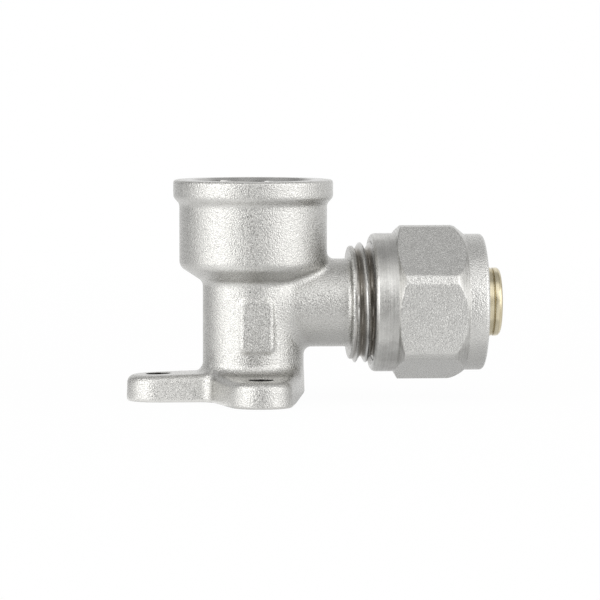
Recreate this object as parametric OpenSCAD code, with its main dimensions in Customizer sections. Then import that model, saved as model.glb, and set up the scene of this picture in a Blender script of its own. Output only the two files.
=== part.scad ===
// Wall plate elbow with a compression end for multilayer pipe.
// The origin is on the socket's axis in the face that meets the wall.
// +Z points out of the socket's mouth and +X out of the pipe end.

/* [Socket] */
// Distance from the wall to the socket's mouth
mouth_height = 38.2; // [36:0.2:46]
// Outer radius of the socket
socket_r = 12.8; // [12.4:0.1:13.4]
// Outer radius of the rim round the mouth
rim_r = 13.85; // [13.6:0.05:14.6]
// Height of the rim, down to the middle of its step
rim_height = 3.9; // [3.5:0.1:5.5]
// Height of the sloping step under the rim
rim_step = 1.4; // [0.6:0.1:1.6]
// Radius of the two bends in the step under the rim
rim_bend = 1.2; // [0.6:0.1:1.4]
// Edge radius of the rim
rim_edge = 0.5; // [0.2:0.1:1]
// Length from the mouth to the corner of the shoulder
socket_length = 15; // [14:0.2:16]
// Slope of the shoulder under the socket
shoulder_angle = 33; // [25:1:40]
// Radius of the shoulder's outer corner
shoulder_round = 1.8; // [0.8:0.1:2.2]
// Radius where the shoulder runs into the barrel
shoulder_fillet = 1.4; // [0.6:0.1:2]

/* [Socket bore] */
// Radius of the bore that carries the female thread
female_r = 9.32; // [9:0.02:9.8]
// Depth of that bore
female_depth = 14.5; // [12:0.5:15]
// Depth of the countersink at the mouth
mouth_chamfer = 1.3; // [0.6:0.1:1.8]

/* [Barrel] */
// Outer radius of the barrel
barrel_r = 8.75; // [8.4:0.05:9.2]
// Radius of the fillet between the barrel and the plate
foot_fillet = 1.2; // [0.6:0.1:1.6]
// Radius of the waterway in the barrel
waterway_r = 5.6; // [4.6:0.1:6]
// Width of the bare pad's flat face on the barrel's front
pad_width = 5.1; // [4:0.1:6]
// Height of that face
pad_height = 9; // [7:0.2:9.6]
// Height of the pad's middle over the wall
pad_level = 13.2; // [12.6:0.1:14]
// How far the pad's face stands out past the barrel
pad_rise = 0.1; // [0.05:0.05:0.4]
// How much the pad widens on each side from its face to its foot
pad_draft = 1; // [0.6:0.1:1.2]
// Corner radius of the pad's face
pad_corner = 1; // [0.6:0.1:1.6]

/* [Wall plate] */
// Thickness of the plate at the socket's axis
plate_thickness = 5.2; // [4.4:0.1:6]
// Slope of the plate's top, falling outwards
plate_draft = 1.9; // [0:0.1:2.5]
// Radius of the plate round the barrel
hub_r = 8.95; // [8.6:0.05:9.4]
// Distance from the socket's axis to each fixing hole
ear_reach = 16.5; // [15:0.1:19]
// Radius of an ear's end
ear_r = 5.5; // [4.6:0.1:6]
// Radius of the fixing holes
hole_r = 2.2; // [1.6:0.05:2.6]
// Radius of the hollow corners between neighbouring ears
ear_fillet = 2; // [1:0.1:2.6]
// Radius of the plate's upper edge
upper_edge = 1.3; // [0.4:0.1:1.6]
// Radius of the plate's lower edge
lower_edge = 0.4; // [0.2:0.1:0.8]
// How far the plate's flanks lean in towards the top
flank_draft = 0.15; // [0:0.05:0.3]
// Height of the bevel under the plate below the branch
bevel_height = 1.2; // [0.4:0.1:1.6]
// Length of that bevel along the branch
bevel_length = 3; // [1.5:0.1:3.4]

/* [Branch] */
// Height of the branch's axis over the wall
branch_height = 16.8; // [16:0.1:18]
// Outer radius of the neck
neck_r = 7.64; // [7.5:0.02:8]
// Distance from the socket's axis to the end of the neck
neck_reach = 16.5; // [15.6:0.1:17]
// Radius of the fillet where the neck leaves the forging
neck_fillet = 1.3; // [0.8:0.1:1.4]
// Radius of the collar before the thread
collar_r = 9.85; // [9.2:0.05:10]
// Length of the collar
collar_length = 0.9; // [0.7:0.1:2]
// Radius of the corner between neck and collar
collar_fillet = 0.8; // [0.3:0.1:1]
// Radius over the male thread's crests
thread_r = 10.48; // [10.3:0.02:10.9]
// Length from the collar to the threaded end
thread_length = 8.6; // [8:0.1:11]
// Chamfer at each end of the thread
thread_chamfer = 0.7; // [0.3:0.1:1]
// Length of the conical seat in the threaded end
seat_length = 3.6; // [3:0.1:4.4]
// Half angle of the conical seat
seat_angle = 30; // [24:1:33]
// Radius of the bore that takes the insert's spigot
spigot_bore_r = 6.05; // [5.7:0.05:6.2]
// Radius of the waterway in the neck
neck_bore_r = 4.4; // [3.6:0.1:4.8]

/* [Nut] */
// Distance from the collar to the nut, with the nut run up by hand
nut_gap = 2.9; // [2:0.1:3.4]
// Radius of the nut's turned collar on the elbow's side
back_collar_r = 12.02; // [11.6:0.02:12.1]
// Length of that collar
back_collar_length = 4; // [3:0.1:5]
// Width of the hexagon across its flats
hex_width = 24.3; // [24:0.1:26]
// Radius to which the hexagon's corners are turned
hex_corner_r = 13.6; // [13.4:0.02:13.8]
// Length of the hexagon, with its chamfers
hex_length = 12.4; // [10:0.1:14]
// Length of the short chamfer on the hexagon
hex_back_chamfer = 1; // [0.5:0.1:1.5]
// Length of the long chamfer on the hexagon
hex_front_chamfer = 2.2; // [1:0.1:3]
// Radius where that long chamfer starts at the corners
hex_round = 2; // [0.6:0.1:3]
// Angle by which the hexagon is turned about the branch
hex_turn = 19.6; // [0:0.1:60]
// Radius of the nut's turned collar on the pipe's side
front_collar_r = 11.84; // [11.4:0.02:12]
// Length of that collar
front_collar_length = 3.3; // [2.5:0.05:5]
// Edge radius of the collar on the pipe's side
front_edge = 0.7; // [0.3:0.1:1]
// Edge radius of the collar on the elbow's side
back_edge = 0.9; // [0.3:0.1:1]
// Chamfer at the mouth of the nut's thread
nut_mouth = 0.35; // [0.1:0.05:0.6]
// Depth of the threaded bore in the nut
nut_thread_depth = 8; // [7.4:0.1:8.6]

/* [Split ring] */
// Length of the split ring
ring_length = 7.2; // [5:0.1:8]
// Wall of the split ring
ring_wall = 1.15; // [0.8:0.05:1.4]
// Length of the tapered nose
ring_nose = 2.2; // [1.4:0.1:2.8]
// How much the nose narrows in radius
ring_nose_drop = 0.75; // [0.4:0.05:0.75]
// Width of the slit
ring_slit = 1.6; // [0.8:0.1:2.4]
// Depth of the grip grooves inside the ring
grip_depth = 0.25; // [0.1:0.05:0.4]
// Distance between grip grooves
grip_pitch = 1.4; // [1:0.1:1.6]

/* [Insert] */
// Outer radius of the pipe that the fitting takes
pipe_r = 8; // [7.8:0.1:8.2]
// Wall of that pipe
pipe_wall = 2; // [1.8:0.1:2.2]
// Radius of the insert's bore
insert_bore_r = 4; // [3.4:0.1:4.1]
// Radius of the insert's flange
flange_r = 8.2; // [7.8:0.05:8.4]
// Thickness of the flange's rim
flange_rim = 0.95; // [0.6:0.05:1.1]
// Length of the spigot that stands in the elbow
spigot_length = 5; // [4:0.1:6]
// Length of the tail, from the flange to the tip
tail_length = 15.7; // [14:0.1:19]
// Radius of the rounded tip
tip_round = 0.7; // [0.3:0.1:1]
// Width of the fine groove behind the tip
tip_groove = 0.25; // [0.15:0.05:0.4]
// Distance from the tip to the fine groove
tip_land = 1.25; // [0.8:0.05:1.4]

/* [Seals and washer] */
// Thickness of the seals on the tail
tail_seal_section = 1.3; // [1.1:0.05:1.4]
// How far the tail's seals stand proud of the tail
tail_seal_proud = 0.12; // [0.05:0.01:0.2]
// Distance from the flange to the first seal's groove
tail_seal_start = 4.4; // [3.6:0.1:5]
// Distance between the two seal grooves
tail_seal_step = 3.4; // [2.6:0.1:4]
// Thickness of the seal on the spigot
seat_seal_section = 1.1; // [0.9:0.05:1.2]
// Distance from the spigot's end to its seal groove
seat_seal_start = 1.6; // [1:0.1:2]
// Thickness of the insulating washer
washer_thickness = 0.95; // [0.6:0.05:1.1]

/* [Clearances] */
// Running clearance of the nut over the male thread
thread_clearance = 0.1; // [0.05:0.01:0.2]
// Clearance between the pipe and what surrounds it
pipe_clearance = 0.1; // [0.05:0.01:0.15]
// Clearance between the insert and its seats
insert_clearance = 0.05; // [0.03:0.01:0.08]
// Side clearance of a seal in its groove
seal_clearance = 0.05; // [0.02:0.01:0.1]
// Clearance round the split ring inside the nut
ring_clearance = 0.08; // [0.05:0.01:0.15]
// Free way between the split ring and the washer
ring_float = 1.2; // [1:0.1:1.6]

/* [Hidden] */
$fn = 96;
arc_steps = 6;
// Overrun of a cut past the face that it leaves
over = 0.5;
// How far a blend sinks into the faces that it joins
blend_dip = 0.03;
// Angle of a drill's point at the bottom of a bore, measured from its flat
drill_slope = 31;
nickel = [0.75, 0.74, 0.72];
brass = [0.83, 0.71, 0.47];
rubber_black = [0.08, 0.08, 0.09];
plastic_white = [0.93, 0.93, 0.91];

// Places along the socket's axis
shoulder_level = mouth_height - socket_length;
shoulder_foot = shoulder_level - (socket_r - barrel_r) * tan(shoulder_angle);
rim_foot = mouth_height - rim_height;
foot_level = plate_thickness - (barrel_r + foot_fillet) * tan(plate_draft) - blend_dip;
female_floor = mouth_height - female_depth;

// Places along the branch
collar_end = neck_reach + collar_length;
branch_end = collar_end + thread_length;
seat_r = spigot_bore_r + seat_length * tan(seat_angle);
nut_back = collar_end + nut_gap;
hex_start = nut_back + back_collar_length;
hex_end = hex_start + hex_length;
nut_front = hex_end + front_collar_length;
nut_thread_r = thread_r + thread_clearance;
nut_shelf = nut_back + nut_thread_depth;

// The insert is seated on the cone, with its clearance measured across the cone
seat_shift = insert_clearance / sin(seat_angle);
spigot_r = spigot_bore_r - insert_clearance;
cone_start = branch_end - seat_length + seat_shift;
spigot_start = cone_start - spigot_length;
flange_start = cone_start + (flange_r - spigot_r) / tan(seat_angle);
flange_end = flange_start + flange_rim;
tail_r = pipe_r - pipe_wall - insert_clearance;
tip_end = flange_end + tail_length;
tail_groove_r = tail_r + tail_seal_proud - tail_seal_section - seal_clearance;
seat_groove_r = spigot_bore_r - insert_clearance - seat_seal_section;
seat_seal_level = spigot_start + seat_seal_start + seat_seal_section / 2 + seal_clearance;
tail_seal_levels = [for (i = [0, 1])
    flange_end + tail_seal_start + i * tail_seal_step + tail_seal_section / 2 + seal_clearance];
washer_start = flange_end + seal_clearance;

// The split ring rests against the cone inside the nut
ring_start = washer_start + washer_thickness + ring_float;
ring_end = ring_start + ring_length;
ring_bore_r = pipe_r + pipe_clearance;
ring_r = ring_bore_r + ring_wall;
pipe_hole_r = pipe_r + 2 * pipe_clearance;
chamber_r = ring_r + ring_clearance;

function unit(v) = v / norm(v);
function turned(v, a) = [v.x * cos(a) - v.y * sin(a), v.x * sin(a) + v.y * cos(a)];
function arc(c, r, a0, a1, n) =
    [for (i = [0:n]) let(a = a0 + (a1 - a0) * i / n) c + r * [cos(a), sin(a)]];

// Points of an arc of radius r that rounds the corner at p, between a and b
function round_at(a, p, b, r) =
    let(u = unit(a - p), v = unit(b - p), half = acos(u * v) / 2,
        c = p + unit(u + v) * r / sin(half), first = p + u * r / tan(half) - c,
        way = cross(u, v) > 0 ? -1 : 1)
    [for (i = [0:arc_steps]) c + turned(first, way * (180 - 2 * half) * i / arc_steps)];

// Outline through corners [x, y, radius], each rounded to its radius
function rounded(corners) =
    let(n = len(corners), flat = [for (c = corners) [c.x, c.y]])
    [for (i = [0:n - 1])
        each corners[i].z > 0
            ? round_at(flat[(i + n - 1) % n], flat[i], flat[(i + 1) % n], corners[i].z)
            : [flat[i]]];

// Wall of the socket, shoulder and barrel as corners [radius, height, rounding]
barrel_wall = [
    [barrel_r, shoulder_foot, shoulder_fillet],
    [socket_r, shoulder_level, shoulder_round],
    [socket_r, rim_foot - rim_step / 2, rim_bend],
    [rim_r, rim_foot + rim_step / 2, rim_bend],
    [rim_r, mouth_height, rim_edge]];

// Socket, shoulder and barrel, turned about the socket's axis
module barrel_form() {
    rotate_extrude()
        polygon(rounded(concat(
            [[0, mouth_height, 0], [0, lower_edge, 0], [barrel_r, lower_edge, 0]],
            barrel_wall)));
}

// Neck, collar and thread land, turned about the branch's axis
module branch_form() {
    translate([0, 0, branch_height])
        rotate([0, 90, 0])
            rotate_extrude()
                polygon(rounded([
                    [0, 0, 0],
                    [neck_r, 0, 0],
                    [neck_r, neck_reach, collar_fillet],
                    [collar_r, neck_reach, collar_fillet / 2],
                    [collar_r, collar_end, 0],
                    [thread_r, collar_end + thread_chamfer, 0],
                    [thread_r, branch_end - thread_chamfer, 0],
                    [thread_r - thread_chamfer, branch_end, 0],
                    [0, branch_end, 0]]));
}

// Solid through rings of equally many points, closed by fans about two end points
module loft(rings, ends) {
    n = len(rings[0]);
    m = len(rings);
    sides = [for (k = [0:m - 2]) for (i = [0:n - 1])
        let(a = k * n + i, b = k * n + (i + 1) % n)
        each [[a, a + n, b], [b, a + n, b + n]]];
    first_fan = [for (i = [0:n - 1]) [m * n, i, (i + 1) % n]];
    last_fan = [for (i = [0:n - 1]) [m * n + 1, (m - 1) * n + (i + 1) % n, (m - 1) * n + i]];
    points = concat([for (ring = rings) each ring], ends);
    polyhedron(points, concat(sides, first_fan, last_fan), convexity = 4);
}

// Half of the plate's outline, drawn in by inset: the hub under the branch,
// the ear beside it, the hollow corner and the ear opposite the branch
function half_plate(inset) =
    let(tilt = asin((hub_r - ear_r) / ear_reach),
        hollow = [(sin(tilt) * (ear_r + ear_fillet) - hub_r - ear_fillet) / cos(tilt), ear_r + ear_fillet])
    concat(
        arc([0, 0], hub_r - inset, 0, tilt, 3),
        arc([0, ear_reach], ear_r - inset, tilt, 180 - tilt, 2 * arc_steps),
        arc(hollow, ear_fillet + inset, -tilt, -90, 4),
        arc([-ear_reach, 0], ear_r - inset, 90, 180, arc_steps));

function plate_outline(inset) =
    let(half = half_plate(inset), n = len(half))
    concat(half, [for (i = [n - 2:-1:1]) [half[i].x, -half[i].y]]);

function plate_top(p) = plate_thickness - norm(p) * tan(plate_draft);

// Plate with drafted flanks, a falling top and rounded edges, as a loft of outlines
module plate_form() {
    edge_steps = 4;
    lower = [for (i = [0:2]) let(a = 90 * i / 2)
        [for (p = plate_outline(lower_edge * (1 - sin(a)))) [p.x, p.y, lower_edge * (1 - cos(a))]]];
    upper = [for (i = [0:edge_steps]) let(a = 90 * i / edge_steps)
        [for (p = plate_outline(flank_draft + upper_edge * (1 - cos(a))))
            [p.x, p.y, plate_top(p) - upper_edge * (1 - sin(a))]]];
    loft(concat(lower, upper), [[0, 0, 0], [0, 0, plate_thickness]]);
}

// Fillet between the barrel and the plate, kept inside the plate's upper edge
module foot_form() {
    intersection() {
        rotate_extrude()
            polygon(concat(
                [[barrel_r - foot_fillet, foot_level - lower_edge],
                    [barrel_r + foot_fillet, foot_level - lower_edge]],
                arc([barrel_r + foot_fillet, foot_level + foot_fillet], foot_fillet, 270, 180, arc_steps),
                [[barrel_r - foot_fillet, foot_level + foot_fillet]]));
        linear_extrude(foot_level + foot_fillet + over)
            polygon(plate_outline(flank_draft + upper_edge));
    }
}

// Outer radius of the barrel and socket at a height
wall_outline = concat(barrel_wall, [[0, mouth_height, 0], [0, 0, 0], [barrel_r, 0, 0]]);
wall_table = [for (p = rounded(wall_outline)) if (p.x > 0 && p.y < rim_foot) [p.y, p.x]];
function wall_r(z) = lookup(z, wall_table);

// Where a ball of radius r, at height z, touches the wall: [height, distance of the ball's centre]
function ball_touch(z, r) =
    let(steps = 48,
        tries = [for (i = [-steps:steps]) let(dz = r * sin(90 * i / steps))
            [wall_r(z + dz) + sqrt(r * r - dz * dz), z + dz]],
        far = max([for (t = tries) t[0]]))
    [for (t = tries) if (t[0] == far) [t[1], far]][0];

// One section of the fillet round the neck's root, at an angle about the branch
function neck_section(a, r) =
    let(c0 = [(neck_r + r) * sin(a), branch_height + (neck_r + r) * cos(a)],
        touch = ball_touch(c0[1], r),
        centre = [sqrt(touch[1] * touch[1] - c0[0] * c0[0]), c0[0], c0[1]],
        share = wall_r(touch[0]) / touch[1],
        to_wall = unit([centre.x * share, centre.y * share, touch[0]] - centre),
        to_neck = [0, -sin(a), -cos(a)],
        gap = acos(to_wall * to_neck),
        core = centre + unit(to_wall + to_neck) * (r / cos(gap / 2) + r))
    concat(
        [for (k = [0:arc_steps])
            centre + (r + blend_dip) * (to_wall * sin(gap * (1 - k / arc_steps))
                + to_neck * sin(gap * k / arc_steps)) / sin(gap)],
        [core]);

// Fillet that a ball would leave between the neck and the forging behind it
module neck_blend() {
    turns = 48;
    m = arc_steps + 2;
    points = [for (j = [0:turns - 1]) each neck_section(360 * j / turns, neck_fillet)];
    faces = [for (j = [0:turns - 1]) for (k = [0:m - 1])
        let(a = j * m + k, b = j * m + (k + 1) % m,
            c = ((j + 1) % turns) * m + k, d = ((j + 1) % turns) * m + (k + 1) % m)
        each [[a, b, c], [b, d, c]]];
    polyhedron(points, faces, convexity = 6);
}

// Outline of the pad, widened on each side by spread
function pad_outline(spread) =
    let(w = pad_width / 2 + spread, h = pad_height / 2 + spread, r = pad_corner + spread)
    rounded([[w, -h, r], [w, h, r], [-w, h, r], [-w, -h, r]]);

// Pad on the barrel's front: a flat face on flanks that slope out into the barrel
module pad_form() {
    foot_depth = sqrt(pow(barrel_r, 2) - pow(pad_width / 2 + pad_draft, 2)) - blend_dip;
    loft(
        [[for (p = pad_outline(pad_draft)) [p.x, -foot_depth, pad_level + p.y]],
            [for (p = pad_outline(0)) [p.x, -barrel_r - pad_rise, pad_level + p.y]]],
        [[0, -foot_depth, pad_level], [0, -barrel_r - pad_rise, pad_level]]);
}

// Bores from the socket's mouth down to the turn of the waterway
module socket_bore() {
    floor_level = branch_height - waterway_r;
    rotate_extrude()
        polygon([
            [0, mouth_height + over],
            [female_r + mouth_chamfer + over, mouth_height + over],
            [female_r, mouth_height - mouth_chamfer],
            [female_r, female_floor],
            [waterway_r, female_floor - (female_r - waterway_r) * tan(drill_slope)],
            [waterway_r, floor_level],
            [0, floor_level - waterway_r * tan(drill_slope)]]);
}

// Bores from the threaded end to the turn of the waterway
module branch_bore() {
    spigot_floor = spigot_start - insert_clearance;
    translate([0, 0, branch_height])
        rotate([0, 90, 0])
            rotate_extrude()
                polygon([
                    [0, 0],
                    [neck_bore_r, 0],
                    [neck_bore_r, spigot_floor],
                    [spigot_bore_r, spigot_floor],
                    [spigot_bore_r, branch_end - seat_length],
                    [seat_r + over * tan(seat_angle), branch_end + over],
                    [0, branch_end + over]]);
}

module ear_holes() {
    for (place = [[-ear_reach, 0], [0, -ear_reach], [0, ear_reach]])
        translate([place.x, place.y, -over])
            cylinder(h = plate_thickness + 2 * over, r = hole_r);
}

// Bevel under the plate on the branch's side
module bevel_cut() {
    rise = atan(bevel_height / bevel_length);
    span = ear_reach + ear_r;
    translate([hub_r - bevel_length, -span, 0])
        rotate([0, -rise, 0])
            translate([0, 0, -hub_r])
                cube([2 * hub_r, 2 * span, hub_r]);
}

module elbow_body() {
    color(nickel)
        difference() {
            union() {
                barrel_form();
                branch_form();
                plate_form();
                foot_form();
                neck_blend();
                pad_form();
            }
            socket_bore();
            branch_bore();
            ear_holes();
            bevel_cut();
        }
}

// Turns a shape that is drawn about Z so that it lies along the branch
module along_branch(level = 0) {
    translate([level, 0, branch_height])
        rotate([0, 90, 0])
            children();
}

// Outside of the nut: two turned collars and a hexagon whose corners are turned off
module nut_outside() {
    rotate_extrude()
        polygon(rounded([
            [0, nut_back, 0],
            [back_collar_r, nut_back, back_edge],
            [back_collar_r, hex_start + hex_back_chamfer, 0],
            [front_collar_r, hex_end - hex_front_chamfer, 0],
            [front_collar_r, nut_front, front_edge],
            [0, nut_front, 0]]));
    intersection() {
        rotate_extrude()
            polygon(rounded([
                [0, hex_start, 0],
                [back_collar_r - blend_dip, hex_start, 0],
                [hex_corner_r, hex_start + hex_back_chamfer, 0],
                [hex_corner_r, hex_end - hex_front_chamfer, hex_round],
                [front_collar_r - blend_dip, hex_end, 0],
                [0, hex_end, 0]]));
        rotate([0, 0, 90 - hex_turn])
            translate([0, 0, hex_start - over])
                cylinder(h = hex_length + 2 * over, r = hex_width / 2 / cos(30), $fn = 6);
    }
}

// Inside of the nut: threaded bore, chamber for the split ring, cone and pipe hole
module nut_inside() {
    cone_end = ring_end + ring_clearance;
    rotate_extrude()
        polygon([
            [0, nut_back - over],
            [nut_thread_r + nut_mouth + over, nut_back - over],
            [nut_thread_r, nut_back + nut_mouth],
            [nut_thread_r, nut_shelf],
            [chamber_r, nut_shelf + (nut_thread_r - chamber_r) * tan(drill_slope)],
            [chamber_r, cone_end - ring_nose],
            [chamber_r - ring_nose_drop, cone_end],
            [pipe_hole_r, cone_end],
            [pipe_hole_r, nut_front + over],
            [0, nut_front + over]]);
}

module compression_nut() {
    color(nickel)
        along_branch()
            difference() {
                nut_outside();
                nut_inside();
            }
}

// Split ring with a tapered nose and grip grooves in its bore
module split_ring() {
    nose_r = ring_r - ring_nose_drop;
    grips = floor((ring_length - grip_pitch) / grip_pitch);
    color(brass)
        along_branch()
            difference() {
                rotate_extrude()
                    polygon([
                        [ring_bore_r, ring_start],
                        [ring_r, ring_start],
                        [ring_r, ring_end - ring_nose],
                        [nose_r, ring_end],
                        [ring_bore_r, ring_end]]);
                for (i = [1:grips])
                    translate([0, 0, ring_start + i * grip_pitch])
                        rotate_extrude()
                            polygon([
                                [ring_bore_r - over, -grip_depth - over],
                                [ring_bore_r + grip_depth, 0],
                                [ring_bore_r - over, 0]]);
                translate([-ring_r - over, -ring_slit / 2, ring_start - over])
                    cube([ring_r + over, ring_slit, ring_length + 2 * over]);
            }
}

// Groove for a seal, centred on a level
module seal_groove(level, section, outer_r, floor_r) {
    width = section + 2 * seal_clearance;
    translate([0, 0, level - width / 2])
        difference() {
            cylinder(h = width, r = outer_r + over);
            translate([0, 0, -over])
                cylinder(h = width + 2 * over, r = floor_r);
        }
}

// Insert: spigot, cone and flange in the elbow, and the tail that enters the pipe
module pipe_insert() {
    tip_groove_level = tip_end - tip_land - tip_groove / 2;
    color(brass)
        along_branch()
            difference() {
                rotate_extrude()
                    polygon(rounded([
                        [insert_bore_r, spigot_start, 0],
                        [spigot_r, spigot_start, 0],
                        [spigot_r, cone_start, 0],
                        [flange_r, flange_start, 0],
                        [flange_r, flange_end, 0],
                        [tail_r, flange_end, 0],
                        [tail_r, tip_end, tip_round],
                        [insert_bore_r, tip_end, 0]]));
                seal_groove(seat_seal_level, seat_seal_section, spigot_r, seat_groove_r);
                for (level = tail_seal_levels)
                    seal_groove(level, tail_seal_section, tail_r, tail_groove_r);
                translate([0, 0, tip_groove_level])
                    difference() {
                        cylinder(h = tip_groove, r = tail_r + over, center = true);
                        cylinder(h = 2 * tip_groove, r = tail_r - tip_groove, center = true);
                    }
            }
}

// Seal of round section whose inner face clears the floor of its groove
module seal(level, section, floor_r) {
    color(rubber_black)
        along_branch(level)
            rotate_extrude()
                translate([floor_r + seal_clearance + section / 2, 0])
                    circle(d = section, $fn = 32);
}

module seat_seal() {
    seal(seat_seal_level, seat_seal_section, seat_groove_r - seal_clearance / 2);
}

module tail_seal_inner() {
    seal(tail_seal_levels[0], tail_seal_section, tail_groove_r);
}

module tail_seal_outer() {
    seal(tail_seal_levels[1], tail_seal_section, tail_groove_r);
}

module insulating_washer() {
    color(plastic_white)
        along_branch(washer_start)
            difference() {
                cylinder(h = washer_thickness, r = pipe_r);
                translate([0, 0, -over])
                    cylinder(h = washer_thickness + 2 * over, r = tail_r + insert_clearance);
            }
}

elbow_body();
compression_nut();
split_ring();
pipe_insert();
seat_seal();
tail_seal_inner();
tail_seal_outer();
insulating_washer();
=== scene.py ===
"""Wall plate elbow with a compression nut for multilayer pipe, dressed for rendering.

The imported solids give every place. The forging, the nut and the insert are modelled again
with blended roots, cut threads and rounded edges. The split ring, the seals and the washer
keep their solids. Every piece gets a finish of its own. Lengths are metres, through MM.
"""

import logging
import math
from collections.abc import Callable, Sequence
from dataclasses import dataclass
from enum import Enum

import bmesh
import bpy
import numpy as np
from mathutils import Matrix, Vector


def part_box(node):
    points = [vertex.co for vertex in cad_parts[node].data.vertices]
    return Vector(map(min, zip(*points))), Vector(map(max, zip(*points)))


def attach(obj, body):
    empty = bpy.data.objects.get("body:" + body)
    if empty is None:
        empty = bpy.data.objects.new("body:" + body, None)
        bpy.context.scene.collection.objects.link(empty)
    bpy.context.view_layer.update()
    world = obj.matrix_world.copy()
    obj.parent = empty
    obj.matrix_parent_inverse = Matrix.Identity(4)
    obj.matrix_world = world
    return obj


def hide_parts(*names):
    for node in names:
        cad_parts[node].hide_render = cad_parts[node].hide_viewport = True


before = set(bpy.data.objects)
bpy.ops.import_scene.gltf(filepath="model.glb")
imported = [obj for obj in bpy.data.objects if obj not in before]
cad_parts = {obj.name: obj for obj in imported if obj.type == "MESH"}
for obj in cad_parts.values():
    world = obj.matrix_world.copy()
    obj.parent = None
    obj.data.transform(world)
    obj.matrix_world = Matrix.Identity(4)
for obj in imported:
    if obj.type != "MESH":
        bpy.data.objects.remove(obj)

MM = 0.001
FULL_TURN = 2.0 * math.pi
FILM_WIDTH = 36.0
TOUCH = 0.01 * MM
MERGE = 0.0002 * MM
NOISE_SPAN = (0.3, 0.7)
log = logging.getLogger("wall_plate_elbow")

Point = tuple[float, float]
Corner = tuple[float, float, float]
Colour = tuple[float, float, float]
Field = Callable[[np.ndarray], np.ndarray]
Piece = bpy.types.Object
Shape = bmesh.types.BMesh
Material = bpy.types.Material
Socket = bpy.types.NodeSocket
Source = Socket | float | Sequence[float]


class Cut(Enum):
    """What a tool does to the piece it meets."""

    JOIN = "UNION"
    REMOVE = "DIFFERENCE"


class Axis(Enum):
    """The two axes that the fitting is turned about."""

    SOCKET = "socket"
    BRANCH = "branch"


@dataclass(frozen=True)
class Places:
    """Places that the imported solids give.

    Attributes:
        mouth: Height of the socket's mouth over the wall.
        axis: Height of the branch's axis over the wall.
        plate_reach: Distance from the socket's axis to the end of an ear.
        thread_end: Distance from the socket's axis to the end of the male thread.
        nut_back: Start of the nut along the branch.
        nut_front: End of the nut along the branch.
        insert_back: Start of the insert along the branch.
        insert_tip: Tip of the insert along the branch.
    """

    mouth: float
    axis: float
    plate_reach: float
    thread_end: float
    nut_back: float
    nut_front: float
    insert_back: float
    insert_tip: float

    @classmethod
    def from_frame(cls) -> "Places":
        """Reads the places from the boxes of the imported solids.

        Returns:
            The places, in metres.
        """
        body_low, body_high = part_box("elbow_body")
        nut_low, nut_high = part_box("compression_nut")
        insert_low, insert_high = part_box("pipe_insert")
        return cls(
            mouth=body_high.z,
            axis=(insert_low.z + insert_high.z) / 2,
            plate_reach=-body_low.x,
            thread_end=body_high.x,
            nut_back=nut_low.x,
            nut_front=nut_high.x,
            insert_back=insert_low.x,
            insert_tip=insert_high.x,
        )


def rounded(corners: Sequence[Corner], steps: int = 8) -> list[Point]:
    """Rounds the corners of an outline.

    Args:
        corners: Corners as (x, y, radius), in order; a radius of zero keeps a corner sharp.
        steps: Facets in each rounded corner.

    Returns:
        The points of the rounded outline.
    """
    places = [Vector(corner[:2]) for corner in corners]
    outline: list[Point] = []
    for i, (here, (_, _, radius)) in enumerate(zip(places, corners)):
        if radius <= 0:
            outline.append(here[:])
            continue
        to_last = (places[i - 1] - here).normalized()
        to_next = (places[(i + 1) % len(places)] - here).normalized()
        half = to_last.angle(to_next) / 2
        centre = here + (to_last + to_next).normalized() * radius / math.sin(half)
        spoke = here + to_last * radius / math.tan(half) - centre
        sweep = math.copysign(math.pi - 2 * half, -to_last.cross(to_next))
        for step in range(steps + 1):
            outline.append((centre + Matrix.Rotation(sweep * step / steps, 2) @ spoke)[:])
    return outline


def stations(start: float, end: float, spacing: float) -> list[float]:
    """Places evenly spread from start to end, without the two ends.

    Args:
        start: First end.
        end: Last end.
        spacing: Greatest distance between neighbours.

    Returns:
        The places between the ends.
    """
    count = max(1, math.ceil(abs(end - start) / spacing))
    return [start + (end - start) * i / count for i in range(1, count)]


def spun(outline: Sequence[Point], steps: int) -> Shape:
    """Turns an outline about Z into a closed solid.

    Args:
        outline: Points as (radius, level). It starts and ends on the axis, or else it is closed.
        steps: Facets round the axis.

    Returns:
        The turned solid.
    """
    bm = bmesh.new()
    verts = [bm.verts.new((radius, 0.0, level)) for radius, level in outline]
    edges = [bm.edges.new(pair) for pair in zip(verts, verts[1:])]
    if outline[0][0] > 0:
        edges.append(bm.edges.new((verts[-1], verts[0])))
    bmesh.ops.spin(
        bm,
        geom=verts + edges,
        cent=(0, 0, 0),
        axis=(0, 0, 1),
        dvec=(0, 0, 0),
        angle=FULL_TURN,
        steps=steps,
        use_merge=True,
        use_duplicate=False,
    )
    bmesh.ops.remove_doubles(bm, verts=bm.verts, dist=MERGE)
    bmesh.ops.recalc_face_normals(bm, faces=bm.faces)
    return bm


def lay_along_branch(bm: Shape, axis: float) -> Shape:
    """Turns a shape that was made about Z so that it lies along the branch.

    Args:
        bm: The shape, whose levels become distances along the branch.
        axis: Height of the branch's axis.

    Returns:
        The same shape, in its place.
    """
    bmesh.ops.rotate(bm, verts=bm.verts, cent=(0, 0, 0), matrix=Matrix.Rotation(math.pi / 2, 3, "Y"))
    bmesh.ops.translate(bm, verts=bm.verts, vec=(0, 0, axis))
    return bm


def soft_min(a: float, b: float, reach: float) -> float:
    """Smaller of two values, rounded where they are within reach of each other.

    Args:
        a: One value.
        b: The other value.
        reach: Difference over which the corner is rounded.

    Returns:
        The rounded smaller value.
    """
    return min(a, b) - max(reach - abs(a - b), 0.0) ** 2 / (4 * reach)


def set_reach(vert: bmesh.types.BMVert, reach: float) -> None:
    """Moves a point of a turned shape to another distance from Z."""
    share = reach / math.hypot(vert.co.x, vert.co.y)
    vert.co.x *= share
    vert.co.y *= share


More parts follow.
